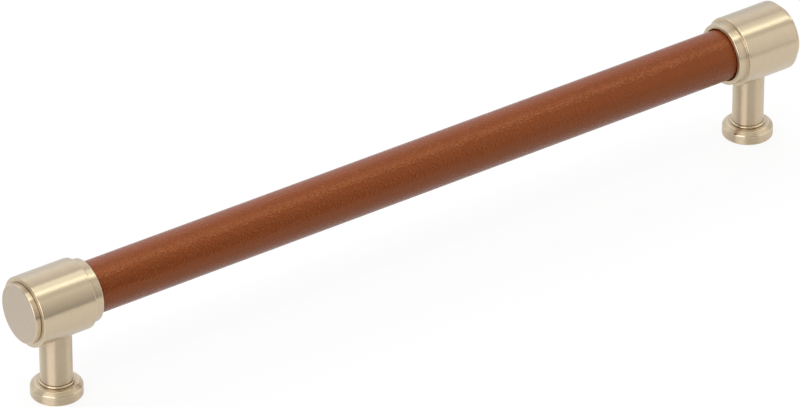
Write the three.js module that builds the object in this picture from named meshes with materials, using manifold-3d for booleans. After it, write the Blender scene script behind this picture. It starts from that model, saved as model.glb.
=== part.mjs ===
// A leather-wrapped bar pull for a large door or appliance, in millimetres.
//
// A steel core tube wears a sleeve of tan leather, closed by a butt seam on the side that faces the
// door. Each end of the bar sits in the socket of a turned brass barrel. A clamp screw runs along the
// bar, through the barrel's web and into a plug bonded in the tube, and a pressed-in end cap hides its
// head. A turned post carries each barrel: its flat top seats in a spot-faced pocket under the barrel,
// and a stud joins the two. The post spreads into a round foot. It is tapped right through, so the
// screw that comes through the door enters it from below.
//
// Frame: +X runs along the bar and +Z points away from the door. The origin lies on the door's face,
// midway between the two posts. Left is -X and right is +X.

import * as THREE from "three";
import { mergeVertices } from "three/addons/utils/BufferGeometryUtils.js";
import Module from "manifold-3d";

const wasm = await Module();
wasm.setup();

// The pull as a whole
const CENTRE_TO_CENTRE = 304.8; // between the axes of the two posts
const BAR_AXIS_HEIGHT = 37.7; // from the door's face to the axis of the bar

// The bar: a core tube inside its leather
const BAR_DIAMETER = 19.2; // over the leather
const LEATHER_THICKNESS = 0.9;
const CORE_WALL = 1.5;
const SEAM_WIDTH = 0.3; // the slit where the two edges of the leather meet
const SEAM_BEVEL = 0.35; // how far each edge of the leather is pared back at the surface
const SEAM_EDGE = 0.3; // the square part of each edge, below the bevel

// Barrel, with its collar on the bar's side
const COLLAR_WALL = 1.75; // round the socket
const COLLAR_LENGTH = 3.75;
const COLLAR_EDGE = 0.45;
const COLLAR_FILLET = 0.5; // in the corner between collar and barrel
const SOCKET_CHAMFER = 0.3; // round the mouth of the socket
const BARREL_STEP = 1.4; // how far the barrel stands out from the collar
const BARREL_INWARD = 9.5; // from the post's axis to the shoulder of the collar
const BARREL_EDGE = 0.45;
const WEB_WALL = 1.9; // metal on each side of the stud's hole, in the solid middle of the barrel

// End cap
const CAP_SHOULDER = 2; // the ring of the barrel's end that shows round the cap
const CAP_LAND = 2.2; // how far the cap laps over its bore
const CAP_PROUD = 2.2; // how far the cap's face stands out of the barrel
const CAP_FLOOR = 3.8; // metal between the cap's face and the recess for the clamp screw's head
const CAP_EDGE = 0.45;
const SPIGOT_SPARE = 1; // from the end of the cap's spigot to the barrel's web
const SPIGOT_CHAMFER = 0.4;

// Post and foot
const POST_DIAMETER = 11.7;
const POST_SEAT_DEPTH = 0.5; // how far the post's flat top passes the barrel's surface at its shallowest
const BEAD_PROUD = 0.65; // how far the bead above the foot stands out from the post
const BEAD_HEIGHT = 1.05;
const FOOT_SHELF = 2; // the flat ring round the bead
const FOOT_SHOULDER_RUN = 1.6; // how far the sloping shoulder comes in from the rim to the shelf
const FOOT_SHOULDER_RISE = 1.4;
const FOOT_RIM_HEIGHT = 3.65;
const FOOT_EDGE = 0.35;
const TAPPED_HOLE_CHAMFER = 0.5;

// Stud between post and barrel, of the same thread as the screw through the door
const STUD_DIAMETER = 6;
const STUD_IN_POST = 7.5;
const STUD_CHAMFER = 0.6;
const STUD_HOLE_SPARE = 0.6; // how far the barrel's tapped hole runs past the end of the stud
const STUD_HOLE_ROOF = 1; // metal left between the stud's hole and the clamp screw's hole

// Clamp screw, and the plug that it pulls on
const SCREW_DIAMETER = 5;
const SCREW_REACH = 12; // how deep the screw goes into the plug
const SCREW_TIP_CHAMFER = 0.7;
const SCREW_HEAD_LIP = 1.75; // how far the head stands out from the shank
const SCREW_HEAD_HEIGHT = 5;
const SCREW_HEAD_CHAMFER = 0.5;
const HEX_SIDES = 6;
const HEX_ACROSS_FLATS = 4;
const HEX_DEPTH = 2.6;
const PLUG_LENGTH = 16;
const PLUG_FLANGE = 1.5; // the plug's flange, which closes the end of the tube

// Clearances
const BOND_GAP = 0.1; // radial: glue under the leather and round the plug
const SOCKET_GAP = 0.35; // radial: between the leather and the socket
const SEAT_GAP = 0.1; // between faces that seat on each other, and round the post in its pocket
const PRESS_GAP = 0.08; // radial: round the cap's spigot
const THREAD_GAP = 0.1; // radial: round a screw or stud in its tapped hole
const SCREW_HOLE_GAP = 0.3; // radial: round the clamp screw in the barrel's web
const HEAD_ROOM = 0.8; // round and above the clamp screw's head in the cap

// Facets round a full turn, and steps in an eighth of a turn along each rounded edge
const LARGE_TURN = 48;
const SMALL_TURN = 24;
const EDGE_STEPS = 2;

const QUARTER_TURN = Math.PI / 2;
const MERGE_DISTANCE = 1e-4;

// Radii, from the middle of the bar outwards
const leatherRadius = BAR_DIAMETER / 2;
const leatherInnerRadius = leatherRadius - LEATHER_THICKNESS;
const coreRadius = leatherInnerRadius - BOND_GAP;
const coreInnerRadius = coreRadius - CORE_WALL;
const socketRadius = leatherRadius + SOCKET_GAP;
const collarRadius = socketRadius + COLLAR_WALL;
const barrelRadius = collarRadius + BARREL_STEP;
const capRadius = barrelRadius - CAP_SHOULDER;
const capBoreRadius = capRadius - CAP_LAND;
const spigotRadius = capBoreRadius - PRESS_GAP;
const postRadius = POST_DIAMETER / 2;
const shelfRadius = postRadius + FOOT_SHELF;
const footRadius = shelfRadius + FOOT_SHOULDER_RUN;
const studRadius = STUD_DIAMETER / 2;
const studHoleRadius = studRadius + THREAD_GAP;
const screwRadius = SCREW_DIAMETER / 2;
const screwHoleRadius = screwRadius + SCREW_HOLE_GAP;
const screwHeadRadius = screwRadius + SCREW_HEAD_LIP;
const capRecessRadius = screwHeadRadius + HEAD_ROOM;

// Places along the bar, measured outwards from the post's axis
const webEnd = studHoleRadius + WEB_WALL;
const screwHeadSeat = webEnd + SEAT_GAP;
const screwHeadTop = screwHeadSeat + SCREW_HEAD_HEIGHT;
const capRecessTop = screwHeadTop + HEAD_ROOM;
const capFace = capRecessTop + CAP_FLOOR;
const barrelOuterEnd = capFace - CAP_PROUD;
const collarEnd = -(BARREL_INWARD + COLLAR_LENGTH);
const barEnd = -(webEnd + SEAT_GAP);
const barHalfLength = CENTRE_TO_CENTRE / 2 + barEnd;

// Heights: the pocket and the stud's hole from the bar's axis, and the rest from the door's face
const pocketFloor = POST_SEAT_DEPTH - Math.sqrt(barrelRadius ** 2 - postRadius ** 2);
const studHoleTop = -(screwHoleRadius + STUD_HOLE_ROOF);
const postTop = BAR_AXIS_HEIGHT + pocketFloor - SEAT_GAP;
const studTop = BAR_AXIS_HEIGHT + studHoleTop - STUD_HOLE_SPARE;
const studBottom = postTop - STUD_IN_POST;

// Materials
const satinBrass = new THREE.MeshStandardMaterial({ color: 0xc9b896, roughness: 0.35, metalness: 1 });
const tanLeather = new THREE.MeshStandardMaterial({ color: 0x7e4227, roughness: 0.55, metalness: 0 });
const tubeSteel = new THREE.MeshStandardMaterial({ color: 0x9a9c9e, roughness: 0.4, metalness: 1 });
const zincSteel = new THREE.MeshStandardMaterial({ color: 0xb4b8bb, roughness: 0.35, metalness: 1 });

// A closed geometry as a solid that can be cut.
function solidOf(geometry) {
  const bare = geometry.clone();
  bare.deleteAttribute("normal");
  bare.deleteAttribute("uv");
  const merged = mergeVertices(bare, MERGE_DISTANCE);
  const mesh = new wasm.Mesh({
    numProp: 3,
    vertProperties: merged.attributes.position.array,
    triVerts: new Uint32Array(merged.index.array),
  });
  return new wasm.Manifold(mesh);
}

// A cut solid as a geometry again.
function geometryOf(solid) {
  const { vertProperties, triVerts } = solid.getMesh();
  const geometry = new THREE.BufferGeometry();
  geometry.setAttribute("position", new THREE.BufferAttribute(vertProperties, 3));
  geometry.setIndex(new THREE.BufferAttribute(triVerts, 1));
  geometry.computeVertexNormals();
  return geometry;
}

function cut(geometry, ...tools) {
  const solid = tools.reduce((left, tool) => left.subtract(solidOf(tool)), solidOf(geometry));
  return geometryOf(solid);
}

// Turns a profile of (radius, place along the axis) about +Z. Its path has the metal on its left.
function turnedAboutZ(profile, turn) {
  return new THREE.LatheGeometry(profile.getPoints(EDGE_STEPS), turn).rotateX(QUARTER_TURN);
}

// The same about +X, which on the right-hand end points outwards.
function turnedAboutX(profile, turn) {
  return new THREE.LatheGeometry(profile.getPoints(EDGE_STEPS), turn).rotateZ(-QUARTER_TURN);
}

// Rounds a corner where the path turns left, from the given angle on. Its centre lies inside the metal.
function roundEdge(profile, centreRadius, centrePlace, radius, startAngle) {
  profile.absarc(centreRadius, centrePlace, radius, startAngle, startAngle + QUARTER_TURN, false);
}

// The barrel about its own axis, before the post's pocket and the stud's hole are cut.
function barrelBlank() {
  const fillet = Math.min(COLLAR_FILLET, BARREL_STEP / 2);
  const edge = Math.min(BARREL_EDGE, BARREL_STEP / 2);
  const filletStart = -BARREL_INWARD - fillet;
  const profile = new THREE.Path();
  profile.moveTo(screwHoleRadius, -webEnd);
  profile.lineTo(socketRadius, -webEnd);
  profile.lineTo(socketRadius, collarEnd + SOCKET_CHAMFER);
  profile.lineTo(socketRadius + SOCKET_CHAMFER, collarEnd);
  profile.lineTo(collarRadius - COLLAR_EDGE, collarEnd);
  roundEdge(profile, collarRadius - COLLAR_EDGE, collarEnd + COLLAR_EDGE, COLLAR_EDGE, -QUARTER_TURN);
  profile.lineTo(collarRadius, filletStart);
  profile.absarc(collarRadius + fillet, filletStart, fillet, Math.PI, QUARTER_TURN, true);
  profile.lineTo(barrelRadius - edge, -BARREL_INWARD);
  roundEdge(profile, barrelRadius - edge, -BARREL_INWARD + edge, edge, -QUARTER_TURN);
  profile.lineTo(barrelRadius, barrelOuterEnd - edge);
  roundEdge(profile, barrelRadius - edge, barrelOuterEnd - edge, edge, 0);
  profile.lineTo(capBoreRadius, barrelOuterEnd);
  profile.lineTo(capBoreRadius, webEnd);
  profile.lineTo(screwHoleRadius, webEnd);
  profile.lineTo(screwHoleRadius, -webEnd);
  return turnedAboutX(profile, LARGE_TURN);
}

// An upright cutter between two heights, measured from the bar's axis.
function uprightCutter(radius, bottom, top, turn) {
  return new THREE.CylinderGeometry(radius, radius, top - bottom, turn)
    .rotateX(QUARTER_TURN)
    .translate(0, 0, (top + bottom) / 2);
}

function barrel() {
  const pocketMouth = -(barrelRadius + SEAT_GAP);
  const pocket = uprightCutter(postRadius + SEAT_GAP, pocketMouth, pocketFloor, LARGE_TURN);
  const studHole = uprightCutter(studHoleRadius, pocketFloor - SEAT_GAP, studHoleTop, SMALL_TURN);
  return cut(barrelBlank(), pocket, studHole);
}

function endCap() {
  const seat = barrelOuterEnd + SEAT_GAP;
  const spigotEnd = webEnd + SPIGOT_SPARE;
  const profile = new THREE.Path();
  profile.moveTo(0, capRecessTop);
  profile.lineTo(capRecessRadius, capRecessTop);
  profile.lineTo(capRecessRadius, spigotEnd);
  profile.lineTo(spigotRadius - SPIGOT_CHAMFER, spigotEnd);
  profile.lineTo(spigotRadius, spigotEnd + SPIGOT_CHAMFER);
  profile.lineTo(spigotRadius, seat);
  profile.lineTo(capRadius, seat);
  profile.lineTo(capRadius, capFace - CAP_EDGE);
  roundEdge(profile, capRadius - CAP_EDGE, capFace - CAP_EDGE, CAP_EDGE, 0);
  profile.lineTo(0, capFace);
  return turnedAboutX(profile, LARGE_TURN);
}

// The post, with its foot and bead, turned from one bar and tapped right through.
function post() {
  const shelfHeight = FOOT_RIM_HEIGHT + FOOT_SHOULDER_RISE;
  const beadMiddle = shelfHeight + BEAD_HEIGHT / 2;
  const shoulderTurn = Math.atan2(FOOT_SHOULDER_RUN, FOOT_SHOULDER_RISE);
  const roundStart = FOOT_RIM_HEIGHT - FOOT_EDGE * Math.tan(shoulderTurn / 2);
  const profile = new THREE.Path();
  profile.moveTo(studHoleRadius, postTop - TAPPED_HOLE_CHAMFER);
  profile.lineTo(studHoleRadius, TAPPED_HOLE_CHAMFER);
  profile.lineTo(studHoleRadius + TAPPED_HOLE_CHAMFER, 0);
  profile.lineTo(footRadius - FOOT_EDGE, 0);
  roundEdge(profile, footRadius - FOOT_EDGE, FOOT_EDGE, FOOT_EDGE, -QUARTER_TURN);
  profile.lineTo(footRadius, roundStart);
  profile.absarc(footRadius - FOOT_EDGE, roundStart, FOOT_EDGE, 0, shoulderTurn, false);
  profile.lineTo(shelfRadius, shelfHeight);
  profile.lineTo(postRadius, shelfHeight);
  profile.absellipse(
    postRadius, beadMiddle, BEAD_PROUD, BEAD_HEIGHT / 2, -QUARTER_TURN, QUARTER_TURN, false,
  );
  profile.lineTo(postRadius, postTop);
  profile.lineTo(studHoleRadius + TAPPED_HOLE_CHAMFER, postTop);
  profile.lineTo(studHoleRadius, postTop - TAPPED_HOLE_CHAMFER);
  return turnedAboutZ(profile, LARGE_TURN);
}

function postStud() {
  const profile = new THREE.Path();
  profile.moveTo(0, studBottom);
  profile.lineTo(studRadius - STUD_CHAMFER, studBottom);
  profile.lineTo(studRadius, studBottom + STUD_CHAMFER);
  profile.lineTo(studRadius, studTop - STUD_CHAMFER);
  profile.lineTo(studRadius - STUD_CHAMFER, studTop);
  profile.lineTo(0, studTop);
  return turnedAboutZ(profile, SMALL_TURN);
}

function clampScrew() {
  const tip = barEnd - SCREW_REACH;
  const profile = new THREE.Path();
  profile.moveTo(0, tip);
  profile.lineTo(screwRadius - SCREW_TIP_CHAMFER, tip);
  profile.lineTo(screwRadius, tip + SCREW_TIP_CHAMFER);
  profile.lineTo(screwRadius, screwHeadSeat);
  profile.lineTo(screwHeadRadius, screwHeadSeat);
  profile.lineTo(screwHeadRadius, screwHeadTop - SCREW_HEAD_CHAMFER);
  profile.lineTo(screwHeadRadius - SCREW_HEAD_CHAMFER, screwHeadTop);
  profile.lineTo(0, screwHeadTop);
  const cornerRadius = HEX_ACROSS_FLATS / 2 / Math.cos(Math.PI / HEX_SIDES);
  const cutterLength = HEX_DEPTH + SEAT_GAP;
  const hexSocket = new THREE.CylinderGeometry(cornerRadius, cornerRadius, cutterLength, HEX_SIDES)
    .rotateZ(-QUARTER_TURN)
    .translate(screwHeadTop - HEX_DEPTH + cutterLength / 2, 0, 0);
  return cut(turnedAboutX(profile, SMALL_TURN), hexSocket);
}

// The plug, with its flange outwards against the end of the tube and its tapped hole right through.
function tubePlug() {
  const tappedRadius = screwRadius + THREAD_GAP;
  const bodyRadius = coreInnerRadius - BOND_GAP;
  const flangeBack = barEnd - PLUG_FLANGE;
  const innerEnd = barEnd - PLUG_LENGTH;
  const profile = new THREE.Path();
  profile.moveTo(tappedRadius, innerEnd);
  profile.lineTo(bodyRadius, innerEnd);
  profile.lineTo(bodyRadius, flangeBack);
  profile.lineTo(coreRadius, flangeBack);
  profile.lineTo(coreRadius, barEnd);
  profile.lineTo(tappedRadius, barEnd);
  profile.lineTo(tappedRadius, innerEnd);
  return turnedAboutX(profile, LARGE_TURN);
}

function coreTube() {
  const halfLength = barHalfLength - PLUG_FLANGE - SEAT_GAP;
  const profile = new THREE.Path();
  profile.moveTo(coreInnerRadius, -halfLength);
  profile.lineTo(coreRadius, -halfLength);
  profile.lineTo(coreRadius, halfLength);
  profile.lineTo(coreInnerRadius, halfLength);
  profile.lineTo(coreInnerRadius, -halfLength);
  return turnedAboutX(profile, LARGE_TURN);
}

// The leather's section lies across the bar, with its slit at the bottom, and is drawn out along the bar.
function leatherWrap() {
  const halfSeam = SEAM_WIDTH / 2;
  const innerAngle = Math.asin(halfSeam / leatherInnerRadius);
  const outerAngle = Math.asin((halfSeam + SEAM_BEVEL) / leatherRadius);
  const bevelStart = -Math.sqrt((leatherInnerRadius + SEAM_EDGE) ** 2 - halfSeam ** 2);
  const right = -QUARTER_TURN;
  const left = 3 * QUARTER_TURN;
  const section = new THREE.Shape();
  section.absarc(0, 0, leatherRadius, right + outerAngle, left - outerAngle, false);
  section.lineTo(-halfSeam, bevelStart);
  section.absarc(0, 0, leatherInnerRadius, left - innerAngle, right + innerAngle, true);
  section.lineTo(halfSeam, bevelStart);
  section.closePath();
  const drawn = new THREE.ExtrudeGeometry(section, {
    depth: 2 * barHalfLength,
    bevelEnabled: false,
    curveSegments: LARGE_TURN / 2,
    steps: 1,
  });
  // The section's own x and y become the pull's Y and Z, and its depth runs along X.
  return drawn.rotateX(QUARTER_TURN).rotateZ(QUARTER_TURN).translate(-barHalfLength, 0, 0);
}

function piece(name, geometry, material) {
  const mesh = new THREE.Mesh(geometry, material);
  mesh.name = name;
  return mesh;
}

// What stands on one post: the pieces on the bar's axis, and the post and its stud below them.
function pullEnd(side) {
  const onBarAxis = new THREE.Group();
  onBarAxis.position.z = BAR_AXIS_HEIGHT;
  onBarAxis.add(
    piece(`barrel_${side}`, barrel(), satinBrass),
    piece(`end_cap_${side}`, endCap(), satinBrass),
    piece(`clamp_screw_${side}`, clampScrew(), zincSteel),
    piece(`tube_plug_${side}`, tubePlug(), zincSteel),
  );
  const end = new THREE.Group();
  end.add(
    onBarAxis,
    piece(`post_${side}`, post(), satinBrass),
    piece(`post_stud_${side}`, postStud(), zincSteel),
  );
  return end;
}

const leftEnd = pullEnd("left");
leftEnd.position.x = -CENTRE_TO_CENTRE / 2;
leftEnd.rotation.z = Math.PI;

const rightEnd = pullEnd("right");
rightEnd.position.x = CENTRE_TO_CENTRE / 2;

const bar = new THREE.Group();
bar.position.z = BAR_AXIS_HEIGHT;
bar.add(
  piece("core_tube", coreTube(), tubeSteel),
  piece("leather_wrap", leatherWrap(), tanLeather),
);

const pull = new THREE.Group();
pull.add(bar, leftEnd, rightEnd);

export default pull;
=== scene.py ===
# %% [markdown]
# # A leather-wrapped bar pull
#
# The real object is a straight bar pull for a large door. A steel tube wears a sleeve of tan leather,
# and a turned barrel of brushed pale brass holds each end of it on a turned post with a round foot.
#
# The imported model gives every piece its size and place. It was cut into flat facets, which show on
# round metal. So this lesson turns the visible pieces again, as finely as a lathe would, and gives
# each surface its finish: brushed brass, grained leather, zinc plating and drawn steel.

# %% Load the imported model
import math

import bmesh
import bpy
from mathutils import Matrix, Vector, noise


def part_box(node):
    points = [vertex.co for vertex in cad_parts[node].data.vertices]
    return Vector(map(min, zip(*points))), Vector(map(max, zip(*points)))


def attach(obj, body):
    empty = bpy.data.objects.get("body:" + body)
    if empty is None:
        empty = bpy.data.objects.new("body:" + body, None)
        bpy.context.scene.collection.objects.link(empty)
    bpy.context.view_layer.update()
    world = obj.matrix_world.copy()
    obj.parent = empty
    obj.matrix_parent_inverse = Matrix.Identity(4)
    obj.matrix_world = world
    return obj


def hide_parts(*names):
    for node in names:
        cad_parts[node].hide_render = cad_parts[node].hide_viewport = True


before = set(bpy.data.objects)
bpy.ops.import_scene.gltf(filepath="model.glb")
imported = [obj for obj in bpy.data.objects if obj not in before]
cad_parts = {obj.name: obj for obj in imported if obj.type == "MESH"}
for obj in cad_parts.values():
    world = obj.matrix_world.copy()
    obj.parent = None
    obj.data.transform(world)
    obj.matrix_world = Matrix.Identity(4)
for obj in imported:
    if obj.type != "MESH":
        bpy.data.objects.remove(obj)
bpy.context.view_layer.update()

# %% [markdown]
# ## Where things are
#
# Lengths are in metres, and the bar runs along X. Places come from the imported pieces' own boxes, so
# nothing is fitted by eye: a post's axis is the middle of its box, and the bar's axis is the middle
# of a barrel's box. Left is towards -X.

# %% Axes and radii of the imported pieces
SIDES = ("left", "right")
ALONG_BAR = Vector((1, 0, 0))
ACROSS_BAR = Vector((0, 1, 0))
UP = Vector((0, 0, 1))


def box_middle(node):
    low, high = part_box(node)
    return (Vector(low) + Vector(high)) / 2


def box_width(node):
    low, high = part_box(node)
    return high[1] - low[1]


bar_height = box_middle("barrel_left").z
post_x = {side: box_middle(f"post_{side}").x for side in SIDES}
outward = {"left": -ALONG_BAR, "right": ALONG_BAR}
barrel_radius = box_width("barrel_left") / 2
cap_radius = box_width("end_cap_left") / 2
foot_radius = box_width("post_left") / 2
leather_radius = box_width("leather_wrap") / 2
bar_half_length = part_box("leather_wrap")[1][0]
post_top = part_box("post_left")[1][2]
barrel_outer_end = post_x["left"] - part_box("barrel_left")[0][0]
collar_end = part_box("barrel_left")[1][0] - post_x["left"]
cap_face = post_x["left"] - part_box("end_cap_left")[0][0]
print(f"bar axis at height {bar_height:.4f}, posts at x {post_x['left']:.4f} and {post_x['right']:.4f}")

# %% [markdown]
# ## The camera
#
# The camera goes first, so that every later look at the picture is from the photograph's own angle:
# from the front left, a little above, with a long lens that keeps the bar's edges almost parallel.
# The angles, the distance and the focal length were measured from the object's outline.

# %% Place the camera
CAMERA_AZIMUTH = math.radians(-35.273)
CAMERA_ELEVATION = math.radians(31.624)
CAMERA_ROLL = math.radians(-0.053)
CAMERA_DISTANCE = 2.8406
AIM_HEIGHT = 0.020
AIM_RIGHT = -0.00401
AIM_UP = 0.00287
SENSOR_WIDTH = 36.0
FOCAL_LENGTH = 356.1

backwards = Vector((
    math.sin(CAMERA_AZIMUTH) * math.cos(CAMERA_ELEVATION),
    -math.cos(CAMERA_AZIMUTH) * math.cos(CAMERA_ELEVATION),
    math.sin(CAMERA_ELEVATION),
))
level_right = Vector((math.cos(CAMERA_AZIMUTH), math.sin(CAMERA_AZIMUTH), 0))
level_up = backwards.cross(level_right)
roll = Matrix.Rotation(CAMERA_ROLL, 3, backwards)
aim = UP * AIM_HEIGHT + roll @ (level_right * AIM_RIGHT + level_up * AIM_UP)

camera_data = bpy.data.cameras.new("photo_camera")
camera_data.sensor_width = SENSOR_WIDTH
camera_data.lens = FOCAL_LENGTH
camera = bpy.data.objects.new("photo_camera", camera_data)
turn = Matrix((roll @ level_right, roll @ level_up, backwards)).transposed()
camera.matrix_world = Matrix.Translation(aim + backwards * CAMERA_DISTANCE) @ turn.to_4x4()
bpy.context.scene.collection.objects.link(camera)
bpy.context.scene.camera = camera
print("camera at", tuple(round(value, 3) for value in camera.matrix_world.translation))

# %% [markdown]
# ## Helpers for modelling
#
# A lathe makes most of this pull, and Blender's lathe is the spin operator: a few corner points are
# joined into an outline and swept round an axis. Rounded edges come afterwards, from the bevel
# operator, as they do in the workshop. Weighted normals then keep the long plain surfaces looking
# true, because the small bevels beside them would otherwise pull their shading about.

# %% Helpers: from a bmesh to a finished object
TURN_STEPS = 180
ROUND_STEPS = 4
EDGE_LAYER = "rounded_edge"
SAME_PLACE = 1e-6
MERGE_DISTANCE = 1e-7
SHARP_ANGLE = math.radians(35)
FULL_WEIGHT = 100
WHOLE_TURN = 2 * math.pi


def object_from(bm, name):
    mesh = bpy.data.meshes.new(name)
    bm.to_mesh(mesh)
    bm.free()
    piece = bpy.data.objects.new(name, mesh)
    bpy.context.scene.collection.objects.link(piece)
    return piece


def apply_modifiers(piece):
    shape = piece.evaluated_get(bpy.context.evaluated_depsgraph_get())
    finished = bpy.data.meshes.new_from_object(shape)
    piece.modifiers.clear()
    piece.data = finished


def smooth_surface(piece):
    piece.data.shade_smooth()
    piece.data.set_sharp_from_angle(angle=SHARP_ANGLE)
    weighting = piece.modifiers.new("true_surfaces", "WEIGHTED_NORMAL")
    weighting.keep_sharp = True
    weighting.weight = FULL_WEIGHT
    apply_modifiers(piece)


def place_in_frame(piece, slot, *nodes):
    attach(piece, "root")
    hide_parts(*nodes)
    print(f"{piece.name}: {len(piece.data.polygons)} faces")


# %% Helpers: the lathe
def ring_edges(bm, centre, axis, radius, along):
    """The edges round the axis at one radius and one place along it."""
    def on_ring(vert):
        arm = vert.co - centre
        place = arm.dot(axis)
        reach = (arm - axis * place).length
        return abs(place - along) < SAME_PLACE and abs(reach - radius) < SAME_PLACE
    return [edge for edge in bm.edges if all(on_ring(vert) for vert in edge.verts)]


def turned(outline, centre, axis, across):
    """Spins corners of (radius, place along the axis, size of the rounded edge) into a bmesh."""
    bm = bmesh.new()
    corners = [bm.verts.new(centre + across * radius + axis * along) for radius, along, _ in outline]
    sides = [bm.edges.new(pair) for pair in zip(corners, corners[1:])]
    if all(radius > 0 for radius, _, _ in outline):
        sides.append(bm.edges.new((corners[-1], corners[0])))
    bmesh.ops.spin(
        bm, geom=corners + sides, cent=centre, axis=axis, angle=WHOLE_TURN, steps=TURN_STEPS,
        use_merge=True,
    )
    bmesh.ops.remove_doubles(bm, verts=bm.verts[:], dist=MERGE_DISTANCE)
    polish = bm.faces.layers.float.new(EDGE_LAYER)
    for radius, along, size in outline:
        if size > 0:
            rounded = bmesh.ops.bevel(
                bm, geom=ring_edges(bm, centre, axis, radius, along), offset=size, offset_type="OFFSET",
                segments=ROUND_STEPS, profile=0.5, affect="EDGES", material=-1,
            )
            for face in rounded["faces"]:
                face[polish] = 1.0
    bmesh.ops.recalc_face_normals(bm, faces=bm.faces[:])
    return bm


# %% [markdown]
# ## The barrels
#
# Each barrel is one turned piece: a wide drum, then a step down to a collar that grips the bar. The
# socket for the bar, the web with the clamp screw's hole and the bore for the end cap are turned
# too, though they hardly show. The pocket that takes the post is milled across the turning, and a
# boolean cut is the plain way to make it.

# %% Barrel sizes
SOCKET_RADIUS = 0.00995
SOCKET_EDGE = 0.0003
COLLAR_RADIUS = 0.0117
COLLAR_EDGE = 0.0005
BARREL_SHOULDER = -0.0095
STEP_FILLET = 0.0004
BARREL_EDGE = 0.00045
WEB_HALF = 0.005
SCREW_HOLE_RADIUS = 0.0028
CAP_BORE_RADIUS = 0.0089
POST_RADIUS = 0.00585
POCKET_GAP = 0.0001
STUD_HOLE_RADIUS = 0.0031
STUD_HOLE_BELOW_AXIS = 0.0038
STUD_HOLE_TOP = bar_height - STUD_HOLE_BELOW_AXIS

BARREL_OUTLINE = [
    (SCREW_HOLE_RADIUS, -WEB_HALF, 0),
    (SOCKET_RADIUS, -WEB_HALF, 0),
    (SOCKET_RADIUS, -collar_end, SOCKET_EDGE),
    (COLLAR_RADIUS, -collar_end, COLLAR_EDGE),
    (COLLAR_RADIUS, BARREL_SHOULDER, STEP_FILLET),
    (barrel_radius, BARREL_SHOULDER, BARREL_EDGE),
    (barrel_radius, barrel_outer_end, BARREL_EDGE),
    (CAP_BORE_RADIUS, barrel_outer_end, 0),
    (CAP_BORE_RADIUS, WEB_HALF, 0),
    (SCREW_HOLE_RADIUS, WEB_HALF, 0),
]
print(f"barrel: {2 * barrel_radius:.4f} across, {collar_end + barrel_outer_end:.4f} long")


# %% Cut with upright drills
def drill(piece, x, radius, bottom, top):
    """Cuts an upright round hole into a piece, between two heights."""
    bm = bmesh.new()
    bmesh.ops.create_cone(
        bm, cap_ends=True, segments=TURN_STEPS, radius1=radius, radius2=radius, depth=top - bottom,
        matrix=Matrix.Translation((x, 0, (top + bottom) / 2)),
    )
    cutter = object_from(bm, "drill")
    cut = piece.modifiers.new("drilled", "BOOLEAN")
    cut.operation = "DIFFERENCE"
    cut.solver = "EXACT"
    cut.object = cutter
    apply_modifiers(piece)
    bpy.data.objects.remove(cutter)


# %% Turn and drill the two barrels
barrels = {}
for side in SIDES:
    centre = Vector((post_x[side], 0, bar_height))
    barrel = object_from(turned(BARREL_OUTLINE, centre, outward[side], UP), f"turned_barrel_{side}")
    pocket_top = post_top + POCKET_GAP
    drill(barrel, centre.x, POST_RADIUS + POCKET_GAP, 0, pocket_top)
    drill(barrel, centre.x, STUD_HOLE_RADIUS, pocket_top - POCKET_GAP, STUD_HOLE_TOP)
    smooth_surface(barrel)
    place_in_frame(barrel, "satin_brass", f"barrel_{side}")
    barrels[side] = barrel

# %% [markdown]
# ## The end caps
#
# A flat disc, a little smaller than the barrel, stands proud of its end. Its spigot is pressed into
# the bore, and a recess leaves room for the head of the clamp screw.

# %% Turn the end caps
CAP_EDGE = 0.00045
CAP_SEAT_GAP = 0.0001
SPIGOT_RADIUS = 0.00882
SPIGOT_END = 0.006
SPIGOT_EDGE = 0.0004
RECESS_RADIUS = 0.00505
RECESS_TOP = 0.0109

CAP_OUTLINE = [
    (0, RECESS_TOP, 0),
    (RECESS_RADIUS, RECESS_TOP, 0),
    (RECESS_RADIUS, SPIGOT_END, 0),
    (SPIGOT_RADIUS, SPIGOT_END, SPIGOT_EDGE),
    (SPIGOT_RADIUS, barrel_outer_end + CAP_SEAT_GAP, 0),
    (cap_radius, barrel_outer_end + CAP_SEAT_GAP, 0),
    (cap_radius, cap_face, CAP_EDGE),
    (0, cap_face, 0),
]

caps = {}
for side in SIDES:
    centre = Vector((post_x[side], 0, bar_height))
    cap = object_from(turned(CAP_OUTLINE, centre, outward[side], UP), f"turned_cap_{side}")
    smooth_surface(cap)
    place_in_frame(cap, "satin_brass", f"end_cap_{side}")
    caps[side] = cap

# %% [markdown]
# ## The posts
#
# Post, bead and foot are one turning. From its rim the foot slopes up to a narrow flat shelf, and the
# bead on the shelf is a half round, so its outline is a formula. The hole through the middle is
# tapped for the stud above and for the door's screw below. Its thread is made as a tap makes it: a
# small V is turned about the axis while it climbs, which is the spin operator with a shift at each
# step.

# %% Post sizes
FOOT_RIM_HEIGHT = 0.00365
FOOT_EDGE = 0.0004
SHELF_HEIGHT = 0.00505
SHELF_WIDTH = 0.002
SHELF_RADIUS = POST_RADIUS + SHELF_WIDTH
SHELF_EDGE = 0.0002
BEAD_PROUD = 0.00065
BEAD_HEIGHT = 0.00105
BEAD_STEPS = 10
BEAD_TOP = SHELF_HEIGHT + BEAD_HEIGHT
HOLE_CHAMFER = 0.0005


def bead_point(step):
    """A point of the bead's half round, from the shelf outwards and up to the post."""
    angle = math.pi * step / BEAD_STEPS
    height = SHELF_HEIGHT + BEAD_HEIGHT / 2 * (1 - math.cos(angle))
    return (POST_RADIUS + BEAD_PROUD * math.sin(angle), height, 0)


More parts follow.
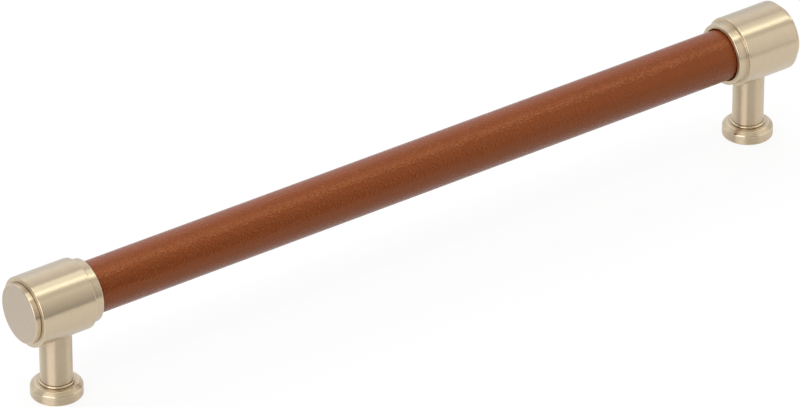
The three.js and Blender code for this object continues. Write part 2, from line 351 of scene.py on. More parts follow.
POST_OUTLINE = [
    (STUD_HOLE_RADIUS, HOLE_CHAMFER, 0),
    (STUD_HOLE_RADIUS + HOLE_CHAMFER, 0, 0),
    (foot_radius, 0, FOOT_EDGE),
    (foot_radius, FOOT_RIM_HEIGHT, FOOT_EDGE),
    (SHELF_RADIUS, SHELF_HEIGHT, SHELF_EDGE),
    *[bead_point(step) for step in range(BEAD_STEPS + 1)],
    (POST_RADIUS, post_top, 0),
    (STUD_HOLE_RADIUS + HOLE_CHAMFER, post_top, 0),
    (STUD_HOLE_RADIUS, post_top - HOLE_CHAMFER, 0),
]
print(f"post: {2 * POST_RADIUS:.4f} across, foot {2 * foot_radius:.4f} across, {post_top:.4f} tall")

# %% A helical ridge for a thread
THREAD_PITCH = 0.001
THREAD_STEPS = 36
THREAD_ROOT = 0.00008
THREAD_FLANK = 0.44 * THREAD_PITCH


def add_thread(bm, centre, axis, across, radius, crest, start, turns):
    """Adds a closed V-shaped ridge to a bmesh, winding along the axis, from the wall in to its crest."""
    root = radius + math.copysign(THREAD_ROOT, radius - crest)
    base = centre + axis * start
    corners = [
        bm.verts.new(base + across * root - axis * THREAD_FLANK),
        bm.verts.new(base + across * crest),
        bm.verts.new(base + across * root + axis * THREAD_FLANK),
    ]
    section = [bm.edges.new(pair) for pair in zip(corners, corners[1:] + corners[:1])]
    bm.faces.new(corners)
    swept = bmesh.ops.spin(
        bm, geom=corners + section, cent=centre, axis=axis, dvec=axis * (THREAD_PITCH / THREAD_STEPS),
        angle=WHOLE_TURN * turns, steps=THREAD_STEPS * turns,
    )
    bm.faces.new([item for item in swept["geom_last"] if isinstance(item, bmesh.types.BMVert)])
    bmesh.ops.recalc_face_normals(bm, faces=bm.faces[:])


# %% Turn and tap the two posts
POST_THREAD_CREST = 0.0026
POST_THREAD_START = 0.0010
POST_THREAD_TURNS = 17

posts = {}
for side in SIDES:
    centre = Vector((post_x[side], 0, 0))
    bm = turned(POST_OUTLINE, centre, UP, ACROSS_BAR)
    polish = bm.faces.layers.float[EDGE_LAYER]
    for face in bm.faces:
        place = face.calc_center_median()
        if SHELF_HEIGHT + SAME_PLACE < place.z < BEAD_TOP and (place - centre).xy.length > POST_RADIUS:
            face[polish] = 1.0
    add_thread(
        bm, centre, UP, ACROSS_BAR, STUD_HOLE_RADIUS, POST_THREAD_CREST, POST_THREAD_START,
        POST_THREAD_TURNS,
    )
    post = object_from(bm, f"turned_post_{side}")
    smooth_surface(post)
    place_in_frame(post, "satin_brass", f"post_{side}")
    posts[side] = post

# %% [markdown]
# ## The leather sleeve
#
# A strip of hide is wrapped round the tube until its two edges meet in a butt seam, on the side that
# faces the door. The model is made the same way: one edge of the strip is spun almost all the way
# round, and the skin then gets its thickness. The edges are pared, which is a bevel. Hide is never
# quite true to a cylinder, so a very slight wave is pressed into it.

# %% Wrap the strip and give it its thickness
LEATHER_THICKNESS = 0.0009
SEAM_HALF_WIDTH = 0.00015
LENGTH_CUTS = 150
WRAP_STEPS = 144

bar_axis = UP * bar_height
seam_half_angle = math.asin(SEAM_HALF_WIDTH / leather_radius)
bm = bmesh.new()
seam_arm = Matrix.Rotation(seam_half_angle, 3, ALONG_BAR) @ (-UP * leather_radius)
ends = [bm.verts.new(bar_axis + seam_arm + ALONG_BAR * x) for x in (-bar_half_length, bar_half_length)]
bmesh.ops.subdivide_edges(bm, edges=[bm.edges.new(ends)], cuts=LENGTH_CUTS)
bmesh.ops.spin(
    bm, geom=bm.verts[:] + bm.edges[:], cent=bar_axis, axis=ALONG_BAR,
    angle=WHOLE_TURN - 2 * seam_half_angle, steps=WRAP_STEPS,
)
bmesh.ops.recalc_face_normals(bm, faces=bm.faces[:])
bmesh.ops.solidify(bm, geom=bm.faces[:], thickness=LEATHER_THICKNESS)


def axis_distance(point):
    return math.hypot(point.y, point.z - bar_height)


reach = [axis_distance(vert.co) for vert in bm.verts]
print(f"leather from radius {min(reach):.5f} to {max(reach):.5f}, volume {bm.calc_volume(signed=True):.3e}")

# %% Pare its edges and press in the wave
PARED_EDGE = 0.0003
PARED_STEPS = 3
STEEP_ANGLE = math.radians(60)
WAVE_HEIGHT = 0.00002
WAVES_PER_METRE = 70

polish = bm.faces.layers.float.new(EDGE_LAYER)
outer_edges = [
    edge for edge in bm.edges
    if edge.calc_face_angle(0) > STEEP_ANGLE
    and all(axis_distance(vert.co) > leather_radius - SAME_PLACE for vert in edge.verts)
]
pared = bmesh.ops.bevel(
    bm, geom=outer_edges, offset=PARED_EDGE, offset_type="OFFSET", segments=PARED_STEPS, profile=0.5,
    affect="EDGES", material=-1,
)
for face in pared["faces"]:
    face[polish] = 1.0
for vert in bm.verts:
    arm = Vector((0, vert.co.y, vert.co.z - bar_height))
    rise = WAVE_HEIGHT * noise.noise(vert.co * WAVES_PER_METRE)
    vert.co += arm.normalized() * min(rise, 0)
print(f"{len(outer_edges)} edges pared")

leather = object_from(bm, "leather_sleeve")
smooth_surface(leather)
place_in_frame(leather, "tan_leather", "leather_wrap")

# %% [markdown]
# ## Nodes in a few words
#
# A finish is a small web of nodes. This helper adds one node, sets its options, and fills its
# sockets, either with a value or with another node's output.

# %% Helper: add a node
# A Mix node's colour sockets come after those for numbers and vectors.
MIX_FIRST = 6
MIX_SECOND = 7
MIX_RESULT = 2


def add(tree, kind, sockets=(), **options):
    node = tree.nodes.new(kind)
    for name, value in options.items():
        setattr(node, name, value)
    for socket, value in dict(sockets).items():
        if isinstance(value, bpy.types.NodeSocket):
            tree.links.new(value, node.inputs[socket])
        else:
            node.inputs[socket].default_value = value
    return node


def calculate(tree, operation, *values):
    return add(tree, "ShaderNodeMath", enumerate(values), operation=operation).outputs[0]


def spread(tree, value, low, high):
    """Turns a value between 0 and 1 into one between low and high."""
    return add(tree, "ShaderNodeMapRange", {"Value": value, "To Min": low, "To Max": high}).outputs[0]


def mix_colours(tree, amount, first, second, blend="MIX"):
    sockets = {"Factor": amount, MIX_FIRST: first, MIX_SECOND: second}
    mix = add(tree, "ShaderNodeMix", sockets, data_type="RGBA", blend_type=blend)
    return mix.outputs[MIX_RESULT]


def new_group(name, inputs, outputs):
    group = bpy.data.node_groups.new(name, "ShaderNodeTree")
    for socket, kind in inputs.items():
        group.interface.new_socket(socket, in_out="INPUT", socket_type=kind)
    for socket, kind in outputs.items():
        group.interface.new_socket(socket, in_out="OUTPUT", socket_type=kind)
    return group, group.nodes.new("NodeGroupInput"), group.nodes.new("NodeGroupOutput")


def new_material(name):
    material = bpy.data.materials.new(name)
    material.use_nodes = True
    return material, material.node_tree, material.node_tree.nodes["Principled BSDF"]


# %% [markdown]
# ## Turning lines
#
# The brass was brushed while it turned in the lathe, so fine lines run round every surface. The
# group reads a place relative to the piece's axis. Its noise changes quickly along the axis and
# outwards, and only slowly round it. The way round is given by the sine and cosine of the angle,
# so the lines close on themselves without a seam.

# %% Group: turning lines
FLOAT = "NodeSocketFloat"
VECTOR = "NodeSocketVector"
LINE_DETAIL = 2.0
LINE_ROUGHNESS = 0.6

turning_lines, given, result = new_group(
    "turning_lines",
    {"Place From Axis": VECTOR, "Lines Per Metre": FLOAT, "Patches Round": FLOAT},
    {"Lines": FLOAT},
)
parts = add(turning_lines, "ShaderNodeSeparateXYZ", {"Vector": given.outputs["Place From Axis"]})
flat = add(turning_lines, "ShaderNodeCombineXYZ", {"X": parts.outputs["X"], "Y": parts.outputs["Y"]})
radius = add(turning_lines, "ShaderNodeVectorMath", {0: flat.outputs[0]}, operation="LENGTH")
heading = add(turning_lines, "ShaderNodeVectorMath", {0: flat.outputs[0]}, operation="NORMALIZE")
round_piece = add(
    turning_lines, "ShaderNodeVectorMath",
    {0: heading.outputs[0], "Scale": given.outputs["Patches Round"]}, operation="SCALE",
)
across_lines = calculate(turning_lines, "MULTIPLY", parts.outputs["Z"], given.outputs["Lines Per Metre"])
outwards = calculate(
    turning_lines, "MULTIPLY", radius.outputs["Value"], given.outputs["Lines Per Metre"]
)
along = add(turning_lines, "ShaderNodeCombineXYZ", {"Z": across_lines})
place = add(
    turning_lines, "ShaderNodeVectorMath", {0: round_piece.outputs[0], 1: along.outputs[0]},
    operation="ADD",
)
lines = add(
    turning_lines, "ShaderNodeTexNoise",
    {
        "Vector": place.outputs[0], "W": outwards, "Scale": 1.0, "Detail": LINE_DETAIL,
        "Roughness": LINE_ROUGHNESS,
    },
    noise_dimensions="4D",
)
turning_lines.links.new(lines.outputs[0], result.inputs["Lines"])
print("group turning_lines:", len(turning_lines.nodes), "nodes")

# %% [markdown]
# ## Painted shade in corners
#
# A fine brown line of painted shade darkens the colour where one turned surface steps up to the
# next. The group measures how far a point is from such a corner, across and along the axis, and
# gives 0 in the corner and 1 from the reach onwards.

# %% Group: corner shade
painted_corner_shade, given, result = new_group(
    "painted_corner_shade",
    {"Across": FLOAT, "Along": FLOAT, "Corner Across": FLOAT, "Corner Along": FLOAT, "Reach": FLOAT},
    {"Open": FLOAT},
)
off_across = calculate(
    painted_corner_shade, "SUBTRACT", given.outputs["Across"], given.outputs["Corner Across"]
)
off_along = calculate(painted_corner_shade, "SUBTRACT", given.outputs["Along"], given.outputs["Corner Along"])
off = add(painted_corner_shade, "ShaderNodeCombineXYZ", {"X": off_across, "Y": off_along}).outputs[0]
gap = add(painted_corner_shade, "ShaderNodeVectorMath", {0: off}, operation="LENGTH").outputs["Value"]
opening = add(
    painted_corner_shade, "ShaderNodeMapRange", {"Value": gap, "From Max": given.outputs["Reach"]},
    interpolation_type="SMOOTHSTEP",
).outputs[0]
painted_corner_shade.links.new(opening, result.inputs["Open"])
print("group painted_corner_shade:", len(painted_corner_shade.nodes), "nodes")

# %% [markdown]
# ## Satin brass
#
# Pale brass reflects more than half of the light that falls on it, and less of the blue. Brushing
# blurs its reflections along the axis and leaves them sharp round it, which is what the anisotropic
# setting does once the tangent runs round the axis. A clear lacquer over it reflects without
# colour, so the metal pales where it turns away. The edges were polished by handling, so they are
# smoother. The flat faces of the caps were matted evenly and are a little darker.

# %% Satin brass
BRASS_COLOUR = (0.690, 0.552, 0.375, 1.0)
FACE_COLOUR = (0.603, 0.488, 0.368, 1.0)
# The posts' brass is a lighter copy of the barrels', painted light so that the posts mirror more light.
POST_COLOUR_PAINTED_LIGHTER = (0.735, 0.588, 0.400, 1.0)
BRASS_LINE_DARK = (0.95, 0.945, 0.935, 1.0)
BRASS_LINE_LIGHT = (1.02, 1.02, 1.02, 1.0)
# The colour of the painted shade in the corners between turned steps.
CORNER_SHADE_COLOUR = (0.20, 0.15, 0.09, 1.0)
CORNER_REACH = 0.0003
LACQUER_ROUGHNESS = 0.3
BRASS_ROUGHNESS = 0.30
POST_ROUGHNESS = 0.40
FACE_ROUGHNESS = 0.38
ROUGHNESS_SPREAD = 0.03
POLISHED_SHARE = 0.5
QUARTER_TURN = 0.25
FINE_LINES = 5200.0
BROAD_LINES = 1100.0
PATCHES_ROUND = 2.2
FINE_SHARE = 0.6
BROAD_SHARE = 0.4
CONTRAST_LOW = 0.3
CONTRAST_HIGH = 0.7
LINE_DEPTH = 0.000004
LINE_RELIEF = 0.5


def satin_brass(
    name, axis, centre, turn, first_along, corners, colour=BRASS_COLOUR, roughness=BRASS_ROUGHNESS,
    anisotropy=1.0,
):
    """Brass brushed round the axis through a centre. The turn lays Z along that axis."""
    material, tree, shader = new_material(name)
    position = add(tree, "ShaderNodeTexCoord").outputs["Object"]
    centred = add(
        tree, "ShaderNodeMapping", {"Vector": position, "Location": centre, "Rotation": turn},
        vector_type="TEXTURE",
    ).outputs[0]

    def lines_of(spacing):
        group = add(tree, "ShaderNodeGroup", node_tree=turning_lines)
        tree.links.new(centred, group.inputs["Place From Axis"])
        group.inputs["Lines Per Metre"].default_value = spacing
        group.inputs["Patches Round"].default_value = PATCHES_ROUND
        return group.outputs["Lines"]

    fine = lines_of(FINE_LINES)
    broad = lines_of(BROAD_LINES)
    broad_part = calculate(tree, "MULTIPLY", broad, BROAD_SHARE)
    both = calculate(tree, "MULTIPLY_ADD", fine, FINE_SHARE, broad_part)
    contrast = add(
        tree, "ShaderNodeMapRange",
        {"Value": both, "From Min": CONTRAST_LOW, "From Max": CONTRAST_HIGH},
    ).outputs[0]
    shade = mix_colours(tree, contrast, BRASS_LINE_DARK, BRASS_LINE_LIGHT)
    brushed = mix_colours(tree, 1.0, colour, shade, "MULTIPLY")
    parts = add(tree, "ShaderNodeSeparateXYZ", {"Vector": centred}).outputs
    flat = add(tree, "ShaderNodeCombineXYZ", {"X": parts["X"], "Y": parts["Y"]}).outputs[0]
    across = add(tree, "ShaderNodeVectorMath", {0: flat}, operation="LENGTH").outputs["Value"]
    along = calculate(tree, "SUBTRACT", calculate(tree, "ABSOLUTE", parts["Z"]), first_along)
    clear = 1.0
    # Each corner gets a fine brown line of painted shade.
    for corner_across, corner_along in corners:
        group = add(tree, "ShaderNodeGroup", node_tree=painted_corner_shade)
        tree.links.new(across, group.inputs["Across"])
        tree.links.new(along, group.inputs["Along"])
        group.inputs["Corner Across"].default_value = corner_across
        group.inputs["Corner Along"].default_value = corner_along
        group.inputs["Reach"].default_value = CORNER_REACH
        clear = calculate(tree, "MULTIPLY", clear, group.outputs["Open"])
    corner_shaded = mix_colours(tree, 1.0, brushed, CORNER_SHADE_COLOUR, "MULTIPLY")
    finished = mix_colours(tree, clear, corner_shaded, brushed)
    edge = add(tree, "ShaderNodeAttribute", attribute_name=EDGE_LAYER).outputs["Fac"]
    satin = spread(tree, contrast, roughness + ROUGHNESS_SPREAD, roughness - ROUGHNESS_SPREAD)
    rough = calculate(tree, "MULTIPLY", satin, spread(tree, edge, 1.0, POLISHED_SHARE))
    bump = add(tree, "ShaderNodeBump", {"Height": both, "Strength": LINE_RELIEF, "Distance": LINE_DEPTH})
    tangent = add(tree, "ShaderNodeTangent", direction_type="RADIAL", axis=axis)
    shader.inputs["Metallic"].default_value = 1.0
    shader.inputs["Anisotropic"].default_value = anisotropy
    shader.inputs["Anisotropic Rotation"].default_value = QUARTER_TURN
    shader.inputs["Coat Weight"].default_value = 1.0
    shader.inputs["Coat Roughness"].default_value = LACQUER_ROUGHNESS
    tree.links.new(finished, shader.inputs["Base Color"])
    tree.links.new(rough, shader.inputs["Roughness"])
    tree.links.new(bump.outputs[0], shader.inputs["Normal"])
    tree.links.new(tangent.outputs[0], shader.inputs["Tangent"])
    return material


# %% Give the brass to the barrels, the caps and the posts
LIE_DOWN = (0, math.radians(90), 0)
FLAT_ENOUGH = 0.99
CAP_FACE_SLOT = 1
BARREL_CORNERS = [(cap_radius, barrel_outer_end), (COLLAR_RADIUS, BARREL_SHOULDER)]
POST_CORNERS = [(POST_RADIUS + BEAD_PROUD / 2, SHELF_HEIGHT), (POST_RADIUS, BEAD_TOP)]
barrel_brass = satin_brass(
    "barrel_satin_brass", "X", bar_axis, LIE_DOWN, post_x["right"], BARREL_CORNERS,
)
face_brass = satin_brass(
    "cap_face_satin_brass", "X", bar_axis, LIE_DOWN, post_x["right"], [], FACE_COLOUR, FACE_ROUGHNESS,
    anisotropy=0.0,
)
for piece in list(barrels.values()) + list(caps.values()):
    piece.data.materials.append(barrel_brass)
for cap in caps.values():
    cap.data.materials.append(face_brass)
    for face in cap.data.polygons:
        if abs(face.normal.x) > FLAT_ENOUGH:
            face.material_index = CAP_FACE_SLOT
for side in SIDES:
    post_brass = satin_brass(
        f"post_satin_brass_{side}", "Z", (post_x[side], 0, 0), (0, 0, 0), 0, POST_CORNERS,
        POST_COLOUR_PAINTED_LIGHTER, POST_ROUGHNESS,
    )
    posts[side].data.materials.append(post_brass)
print("brass finishes:", [material.name for material in bpy.data.materials if "brass" in material.name])

# %% [markdown]
# ## Tan leather
#
# The hide is smooth and waxed, with a fine grain of soft cells a little over a millimetre wide. The
# wax takes up the hide's own tan, so it tints what it mirrors. Every cell leans a few degrees its own
# way, and the line of light from the lamps breaks up into small sparks. Bump makes the grain, because
# its relief is less than a tenth of a millimetre. The colour drifts a little over the hide, and it is
# darker in the creases between cells.

# %% Tan leather: the grain
GRAIN_CELLS = 740.0
CREASE_WIDTH = 0.45
WANDER_SCALE = 600.0
WANDER_WIDTH = 0.0008
PORES_SCALE = 3000.0
PORES_SHARE = 0.10
GRAIN_DETAIL = 2.0
GRAIN_DEPTH = 0.00008

tan_leather, tree, shader = new_material("tan_leather")
position = add(tree, "ShaderNodeTexCoord").outputs["Object"]
wander = add(
    tree, "ShaderNodeTexNoise", {"Vector": position, "Scale": WANDER_SCALE, "Detail": GRAIN_DETAIL},
)
shift = add(
    tree, "ShaderNodeVectorMath", {0: wander.outputs["Color"], "Scale": WANDER_WIDTH},
    operation="SCALE",
)
wandering = add(
    tree, "ShaderNodeVectorMath", {0: position, 1: shift.outputs[0]}, operation="ADD",
).outputs[0]
cells = add(
    tree, "ShaderNodeTexVoronoi", {"Vector": wandering, "Scale": GRAIN_CELLS},
    feature="DISTANCE_TO_EDGE",
)
pebble = add(
    tree, "ShaderNodeMapRange", {"Value": cells.outputs["Distance"], "From Max": CREASE_WIDTH},
    interpolation_type="SMOOTHSTEP",
).outputs[0]
pores = add(
    tree, "ShaderNodeTexNoise", {"Vector": position, "Scale": PORES_SCALE, "Detail": GRAIN_DETAIL},
)
height = calculate(tree, "MULTIPLY_ADD", pores.outputs[0], PORES_SHARE, pebble)
bump = add(tree, "ShaderNodeBump", {"Height": height, "Strength": 1.0, "Distance": GRAIN_DEPTH})
print(f"grain cells about {1 / GRAIN_CELLS:.4f} across")

# %% Tan leather: colour and shine
LEATHER_COLOUR = (0.206, 0.0385, 0.0065, 1.0)
LEATHER_DEEP = (0.176, 0.0320, 0.0054, 1.0)
CREASE_SHADE = (0.90, 0.88, 0.87, 1.0)
EDGE_SHADE = (0.45, 0.40, 0.38, 1.0)
LEATHER_SHINE = 0.95
SHINE_TINT = (1.0, 0.42, 0.19, 1.0)
LEATHER_SMOOTHEST = 0.06
CREASE_ROUGHNESS = 0.28
LEATHER_IOR = 1.6
DRIFT_PER_METRE = 60.0
DRIFT_DETAIL = 5.0
DRIFT_ROUGHNESS = 0.6

drift = add(
    tree, "ShaderNodeTexNoise",
    {
        "Vector": position, "Scale": DRIFT_PER_METRE, "Detail": DRIFT_DETAIL,
        "Roughness": DRIFT_ROUGHNESS,
    },
)
colour = mix_colours(tree, drift.outputs[0], LEATHER_DEEP, LEATHER_COLOUR)
creased = mix_colours(tree, spread(tree, pebble, 1.0, 0.0), colour, CREASE_SHADE, "MULTIPLY")
edge = add(tree, "ShaderNodeAttribute", attribute_name=EDGE_LAYER).outputs["Fac"]
edged = mix_colours(tree, edge, creased, EDGE_SHADE, "MULTIPLY")
rough = spread(tree, pebble, CREASE_ROUGHNESS, LEATHER_SMOOTHEST)
shader.inputs["IOR"].default_value = LEATHER_IOR
shader.inputs["Specular IOR Level"].default_value = LEATHER_SHINE
shader.inputs["Specular Tint"].default_value = SHINE_TINT
tree.links.new(edged, shader.inputs["Base Color"])
tree.links.new(rough, shader.inputs["Roughness"])
tree.links.new(bump.outputs[0], shader.inputs["Normal"])
leather.data.materials.append(tan_leather)
print("leather finish:", len(tree.nodes), "nodes")

# %% [markdown]
# ## Steel inside
#
# The tube, its plugs, the screws and the studs are hidden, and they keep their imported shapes. Each
# still gets its finish, for anyone who takes the pull apart. Drawing the tube through a die left
# fine streaks along it. Zinc plating is bright and slightly cloudy.

# %% Drawn steel and zinc plating
STREAK_STRETCH = (40.0, 2400.0, 2400.0)
STEEL_DARK = (0.30, 0.30, 0.31, 1.0)
STEEL_LIGHT = (0.40, 0.40, 0.41, 1.0)
ZINC_DARK = (0.47, 0.48, 0.50, 1.0)
ZINC_LIGHT = (0.56, 0.57, 0.58, 1.0)
CLOUDS_PER_METRE = 350.0
CLOUD_STRETCH = (CLOUDS_PER_METRE, CLOUDS_PER_METRE, CLOUDS_PER_METRE)
STEEL_SMOOTHEST = 0.35
STEEL_ROUGHEST = 0.5
ZINC_SMOOTHEST = 0.25
ZINC_ROUGHEST = 0.4
MARK_DETAIL = 4.0
STREAK_DEPTH = 0.000004


def hidden_metal(name, stretch, dark, light, smoothest, roughest):
    """A metal whose colour, roughness and relief all follow one stretched noise."""
    material, tree, shader = new_material(name)
    position = add(tree, "ShaderNodeTexCoord").outputs["Object"]
    stretched = add(tree, "ShaderNodeMapping", {"Vector": position, "Scale": stretch}).outputs[0]
    marks = add(
        tree, "ShaderNodeTexNoise", {"Vector": stretched, "Scale": 1.0, "Detail": MARK_DETAIL},
    ).outputs[0]
    bump = add(tree, "ShaderNodeBump", {"Height": marks, "Distance": STREAK_DEPTH})
    shader.inputs["Metallic"].default_value = 1.0
    tree.links.new(mix_colours(tree, marks, dark, light), shader.inputs["Base Color"])
    tree.links.new(spread(tree, marks, smoothest, roughest), shader.inputs["Roughness"])
    tree.links.new(bump.outputs[0], shader.inputs["Normal"])
    return material


drawn_steel = hidden_metal(
    "drawn_tube_steel", STREAK_STRETCH, STEEL_DARK, STEEL_LIGHT, STEEL_SMOOTHEST, STEEL_ROUGHEST,
)
zinc = hidden_metal(
    "zinc_plating", CLOUD_STRETCH, ZINC_DARK, ZINC_LIGHT, ZINC_SMOOTHEST, ZINC_ROUGHEST,
)
finishes = {"core_tube": drawn_steel}
for side in SIDES:
    for node in ("tube_plug", "clamp_screw", "post_stud"):
        finishes[f"{node}_{side}"] = zinc
for node, material in finishes.items():
    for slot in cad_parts[node].material_slots:
        slot.material = material
print("inside:", {node: material.name for node, material in finishes.items()})

# %% [markdown]
# ## Floor and background
#
# The photograph has a white ground. Light Path tells a material what looks at it, so the floor and
# the world are white for the camera and bright in a reflection, but light the object less than they
# show. The underside of the bar then stays dark, and the floor keeps its shadow. In the metal the
# floor is greyer than it is seen, and behind the pull a painted shade darkens it further, as in the
# photograph's brass.

# %% Light Path: what is seen or mirrored
WHITE = (1.0, 1.0, 1.0, 1.0)


def seen_or_mirrored(tree):
    """1 where the camera, a reflection or clear glass looks at a surface, and 0 for its light."""
    rays = add(tree, "ShaderNodeLightPath").outputs
    direct = calculate(tree, "MAXIMUM", rays["Is Camera Ray"], rays["Is Glossy Ray"])
    return calculate(tree, "MAXIMUM", direct, rays["Is Transmission Ray"])


def empty_tree(block):
    block.use_nodes = True
    block.node_tree.nodes.clear()
    return block.node_tree


# %% Floor
FLOOR_HALF = 4.0
FLOOR_SEEN = (0.95, 0.95, 0.95, 1.0)
FLOOR_BOUNCE = (0.5, 0.5, 0.5, 1.0)
SHARE_SEEN = 0.85
SHARE_MIRRORED = 0.55
GLOW_MIRRORED = 0.76
# A painted shade on the floor behind the pull, seen only in reflections.
GLOW_IN_PAINTED_SHADE_BEHIND = 0.56
BEHIND_START = -0.005
BEHIND_END = 0.06

bm = bmesh.new()
bmesh.ops.create_grid(bm, x_segments=1, y_segments=1, size=FLOOR_HALF)
floor = object_from(bm, "floor")

floor_white = bpy.data.materials.new("floor_white")
tree = empty_tree(floor_white)
seen = seen_or_mirrored(tree)
paint_colour = mix_colours(tree, seen, FLOOR_BOUNCE, FLOOR_SEEN)
paint = add(tree, "ShaderNodeBsdfDiffuse", {"Color": paint_colour})
camera_ray = add(tree, "ShaderNodeLightPath").outputs["Is Camera Ray"]
share = calculate(tree, "MULTIPLY", seen, spread(tree, camera_ray, SHARE_MIRRORED, SHARE_SEEN))
place = add(tree, "ShaderNodeTexCoord").outputs["Object"]
depth = add(tree, "ShaderNodeSeparateXYZ", {"Vector": place}).outputs["Y"]
# Behind the pull the mirrored floor is darkened: a painted shade.
mirrored = add(
    tree, "ShaderNodeMapRange",
    {
        "Value": depth, "From Min": BEHIND_START, "From Max": BEHIND_END,
        "To Min": GLOW_MIRRORED, "To Max": GLOW_IN_PAINTED_SHADE_BEHIND,
    },
).outputs[0]
strength = spread(tree, camera_ray, mirrored, 1.0)
glow = add(tree, "ShaderNodeEmission", {"Color": WHITE, "Strength": strength})
surface = add(tree, "ShaderNodeMixShader", {0: share, 1: paint.outputs[0], 2: glow.outputs[0]})
add(tree, "ShaderNodeOutputMaterial", {"Surface": surface.outputs[0]})
floor.data.materials.append(floor_white)
print("floor:", 2 * FLOOR_HALF, "metres square")

# %% World
WORLD_LIGHT = 0.42

world = bpy.data.worlds.new("studio")
bpy.context.scene.world = world
tree = empty_tree(world)
soft = add(tree, "ShaderNodeBackground", {"Color": WHITE, "Strength": WORLD_LIGHT})
ground = add(tree, "ShaderNodeBackground", {"Color": WHITE, "Strength": 1.0})
either = add(
    tree, "ShaderNodeMixShader", {0: seen_or_mirrored(tree), 1: soft.outputs[0], 2: ground.outputs[0]},
)
add(tree, "ShaderNodeOutputWorld", {"Surface": either.outputs[0]})
print("world light", WORLD_LIGHT, "and white where it is seen")

# %% [markdown]
# ## Grey cards
#
# Polished metal is mostly a picture of the room. The photograph's brass mirrors a dim screen in
# front, low down, and pale walls and a ceiling that brighten towards the back. Plain cards stand in
# for them. Each glows from a low to a high strength along one edge, and the camera looks through it.

# %% Helper: a card


def card(name, corner, width, height, low, high, colour=WHITE):
    """A glowing card from its corner along two edges, from strength low to high along its second edge."""
    bm = bmesh.new()
    first = bm.verts.new(corner)
    second = bm.verts.new(Vector(corner) + Vector(width))
    edge = bm.edges.new((first, second))
    grown = bmesh.ops.extrude_edge_only(bm, edges=[edge])["geom"]
    raised = [item for item in grown if isinstance(item, bmesh.types.BMVert)]
    bmesh.ops.translate(bm, verts=raised, vec=Vector(height))
    piece = object_from(bm, name)
    piece.visible_camera = False
    material = bpy.data.materials.new(name)
    tree = empty_tree(material)
    position = add(tree, "ShaderNodeTexCoord").outputs["Object"]
    start = Vector(corner).dot(Vector(height).normalized())
    way = add(
        tree, "ShaderNodeVectorMath", {0: position, 1: Vector(height).normalized()},
        operation="DOT_PRODUCT",
    ).outputs["Value"]
    strength = add(
        tree, "ShaderNodeMapRange",
        {
            "Value": way, "From Min": start, "From Max": start + Vector(height).length,
            "To Min": low, "To Max": high,
        },
    ).outputs[0]
    light = add(tree, "ShaderNodeEmission", {"Color": colour, "Strength": strength})
    add(tree, "ShaderNodeOutputMaterial", {"Surface": light.outputs[0]})
    piece.data.materials.append(material)
    print(f"card {name}: strength {low} to {high}")


# %% Stand the cards round the pull
WARM_GREY = (1.0, 0.985, 0.93, 1.0)
COOL_GREY = (0.97, 1.0, 1.06, 1.0)
WALL_LEFT = -1.44
WALL_RIGHT = 2.5
WALL_BACK = 1.3
CEILING = 1.25
CEILING_LEFT = -2.0
CEILING_LENGTH = (4.5, 0, 0)
WALL = (0, 0, CEILING)

card(
    "front_screen", corner=(-0.38, -0.5, 0), width=(0.64, 0, 0), height=(0, 0, 0.75),
    low=0.28, high=0.78, colour=WARM_GREY,
)
card(
    "far_screen", corner=(WALL_LEFT, -1.5, 0), width=(1.2, 0, 0), height=WALL,
    low=0.28, high=0.60, colour=WARM_GREY,
)
card(
    "ceiling_front", corner=(CEILING_LEFT, -0.95, CEILING), width=CEILING_LENGTH, height=(0, 1.05, 0),
    low=0.72, high=0.66, colour=WARM_GREY,
)
card(
    "ceiling_back", corner=(CEILING_LEFT, 0.1, CEILING), width=CEILING_LENGTH, height=(0, 1.2, 0),
    low=0.62, high=1.10,
)
card(
    "back_wall", corner=(WALL_LEFT, WALL_BACK, 0), width=(2.27, 0, 0), height=WALL,
    low=0.70, high=1.18, colour=COOL_GREY,
)
card(
    "back_corner", corner=(0.83, WALL_BACK, 0), width=(1.67, 0, 0), height=WALL,
    low=0.58, high=0.97, colour=COOL_GREY,
)
card(
    "left_wall", corner=(WALL_LEFT, 0.1, 0), width=(0, 1.2, 0), height=WALL,
    low=0.35, high=0.65, colour=COOL_GREY,
)
card(
    "right_wall", corner=(WALL_RIGHT, -0.4, 0), width=(0, 1.7, 0), height=WALL,
    low=0.50, high=0.70, colour=COOL_GREY,
)

# %% [markdown]
# ## Lamps
#
# A long soft panel hangs over the front of the bar, with a narrow brighter tube in it that draws the
# line of light on barrels and leather. A second strip hangs behind it. Panels on the left light the
# near end cap and the posts. A fill from behind lights the top of the leather, and the metal doesn't
# mirror it. A panel's power follows from its area, so its brightness compares with a card's.

# %% Helper: a soft panel


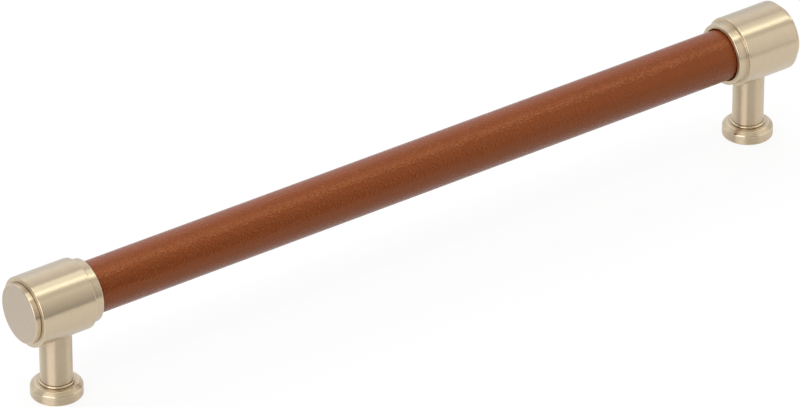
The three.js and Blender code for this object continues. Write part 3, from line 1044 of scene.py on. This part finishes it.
def soft_panel(name, place, target, width, height, brightness, colour=WHITE[:3]):
    """A rectangular lamp that looks as bright as a white card of this strength."""
    lamp = bpy.data.lights.new(name, "AREA")
    lamp.shape = "RECTANGLE"
    lamp.size = width
    lamp.size_y = height
    lamp.energy = brightness * math.pi * width * height
    lamp.color = colour
    panel = bpy.data.objects.new(name, lamp)
    panel.location = place
    panel.rotation_euler = (Vector(target) - Vector(place)).to_track_quat("-Z", "Y").to_euler()
    bpy.context.scene.collection.objects.link(panel)
    return panel


# %% Hang the lamps overhead
LAMP_WHITE = (0.92, 1.0, 0.96)
PANEL_HEIGHT = 1.2
TUBE_HEIGHT = 1.19


def overhead(name, x, y, height, width, depth, brightness):
    """A panel that looks straight down."""
    soft_panel(name, (x, y, height), (x, y, 0), width, depth, brightness, LAMP_WHITE)


overhead("overhead_panel", x=0.3, y=-0.245, height=PANEL_HEIGHT, width=3.0, depth=0.45, brightness=0.90)
overhead("overhead_tube", x=0.3, y=-0.29, height=TUBE_HEIGHT, width=3.0, depth=0.05, brightness=1.7)
overhead("overhead_strip", x=-0.31, y=0.085, height=PANEL_HEIGHT, width=1.78, depth=0.21, brightness=1.05)

# %% Stand the lamps on the left and behind
SIDE_WHITE = (0.96, 1.0, 1.18)
SIDE_PANEL_X = -1.43
SIDE_PANEL_MIDDLE = 0.7
SIDE_PANEL_TALL = 1.4


def from_left(name, y, width, brightness):
    """An upright panel that looks along the bar from the left."""
    place = (SIDE_PANEL_X, y, SIDE_PANEL_MIDDLE)
    target = (0, y, SIDE_PANEL_MIDDLE)
    soft_panel(name, place, target, width, SIDE_PANEL_TALL, brightness, SIDE_WHITE)


from_left("side_panel", y=-0.78, width=1.66, brightness=1.05)
from_left("side_panel_middle", y=-0.66, width=0.90, brightness=0.95)
fill = soft_panel(
    "back_fill", place=(0, 0.75, 0.95), target=(0, 0, bar_height), width=2.0, height=1.0, brightness=0.95,
)
fill.visible_glossy = False
print("lamps:", [lamp.name for lamp in bpy.data.lights])

# %% [markdown]
# ## The view transform
#
# The view transform stays plain, so that a colour on the screen is the colour in the scene.

# %% Plain view transform
bpy.context.scene.view_settings.view_transform = "Standard"
